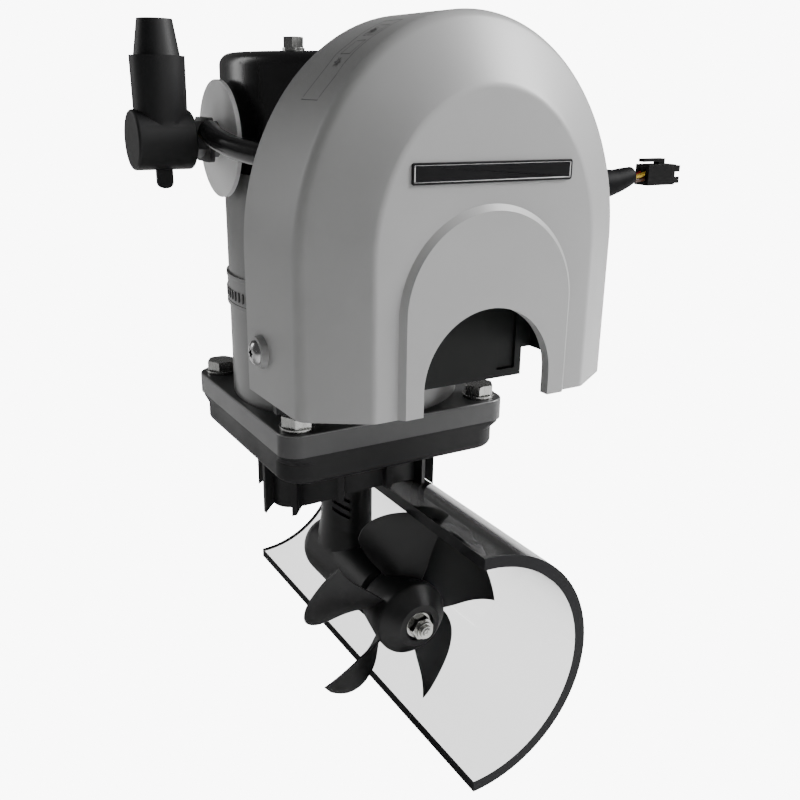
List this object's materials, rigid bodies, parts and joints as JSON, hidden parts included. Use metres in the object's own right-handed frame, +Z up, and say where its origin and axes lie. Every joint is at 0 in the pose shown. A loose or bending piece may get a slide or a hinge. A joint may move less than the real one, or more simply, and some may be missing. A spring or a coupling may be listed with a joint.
{
  "type": "bow thruster",
  "caption": "Electric tunnel thruster with an upright motor under a moulded cover, a gear leg on a ribbed saddle and a bladed propeller in a cut-open tunnel tube.",
  "frame": {"origin": "where the tunnel's axis crosses the axis of the leg and motor", "axes": "+Y along the tunnel, away from the propeller side; +Z up along the motor; +X toward the kept half of the tunnel"},
  "size_m": [0.3175, 0.327, 0.4281],
  "materials": {
    "clear_acrylic": "clear",
    "black_composite": "moulded satin",
    "leg_black": "moulded satin",
    "flange_grey": "satin paint",
    "bright_steel": "bright",
    "yoke_grey": "satin",
    "dark_iron": "dull",
    "can_black": "gloss paint",
    "band_grey": "satin",
    "inner_plastic": "moulded",
    "carbon": "pressed carbon",
    "bearing_steel": "ground",
    "black_rubber": "matt",
    "disc_grey": "moulded satin",
    "stud_brass": "plain",
    "dark_steel": "dark zinc",
    "cable_black": "satin",
    "boot_black": "matt",
    "cover_grey": "moulded satin",
    "plate_black": "satin",
    "tray_black": "moulded",
    "contactor_black": "moulded",
    "wire_yellow": "PVC",
    "wire_red": "PVC",
    "wire_brown": "PVC",
    "copper": "turned",
    "stainless": "ground",
    "prop_black": "moulded satin"
  },
  "bodies": {
    "housing": {"tunnel_half": "clear_acrylic", "saddle": "black_composite", "gear_leg": "leg_black", "pod_tail_cap": "leg_black", "motor_flange": "flange_grey", "flange_bolts": "bright_steel", "flange_washers": "bright_steel", "motor_yoke": "yoke_grey", "field_poles": "dark_iron", "motor_can": "can_black", "tie_bolts": "bright_steel", "clamp_band": "band_grey", "brush_carrier": "inner_plastic", "brushes": "carbon", "motor_bearings": "bearing_steel", "leg_bearings": "bearing_steel", "leg_seal": "black_rubber", "prop_bearings": "bearing_steel", "prop_seal": "black_rubber", "terminal_disc": "disc_grey", "terminal_stud": "stud_brass", "terminal_nuts": "dark_steel", "cable_lug": "dark_steel", "motor_cable": "cable_black", "terminal_boot": "boot_black", "cover": "cover_grey", "name_plate": "plate_black", "cover_screws": "bright_steel", "control_tray": "tray_black", "tray_bracket": "tray_black", "contactor": "contactor_black", "control_unit": "contactor_black", "loom_sleeve": "boot_black", "wire_yellow": "wire_yellow", "wire_red": "wire_red", "wire_brown": "wire_brown", "wire_black": "cable_black", "connector": "contactor_black"},
    "drive_line": {"armature": "dark_iron", "commutator": "copper", "drive_coupling": "dark_steel", "leg_shaft": "stainless", "bevel_pinion": "dark_steel"},
    "propeller_line": {"bevel_gear": "dark_steel", "prop_shaft": "stainless", "drive_pin": "stainless", "propeller": "prop_black", "prop_washer": "stainless", "prop_nut": "bright_steel"}
  },
  "joints": [
    {"name": "drive_spin", "type": "hinge", "parent": "housing", "child": "drive_line", "pos_m": [0, 0, 0.2], "axis": [0, 0, 1], "continuous": true},
    {"name": "propeller_spin", "type": "hinge", "parent": "housing", "child": "propeller_line", "pos_m": [0, 0, 0], "axis": [0, 1, 0], "continuous": true}
  ],
  "couplings": [
    {"joint": "propeller_spin", "follows": "drive_spin", "ratio": -0.66667}
  ]
}
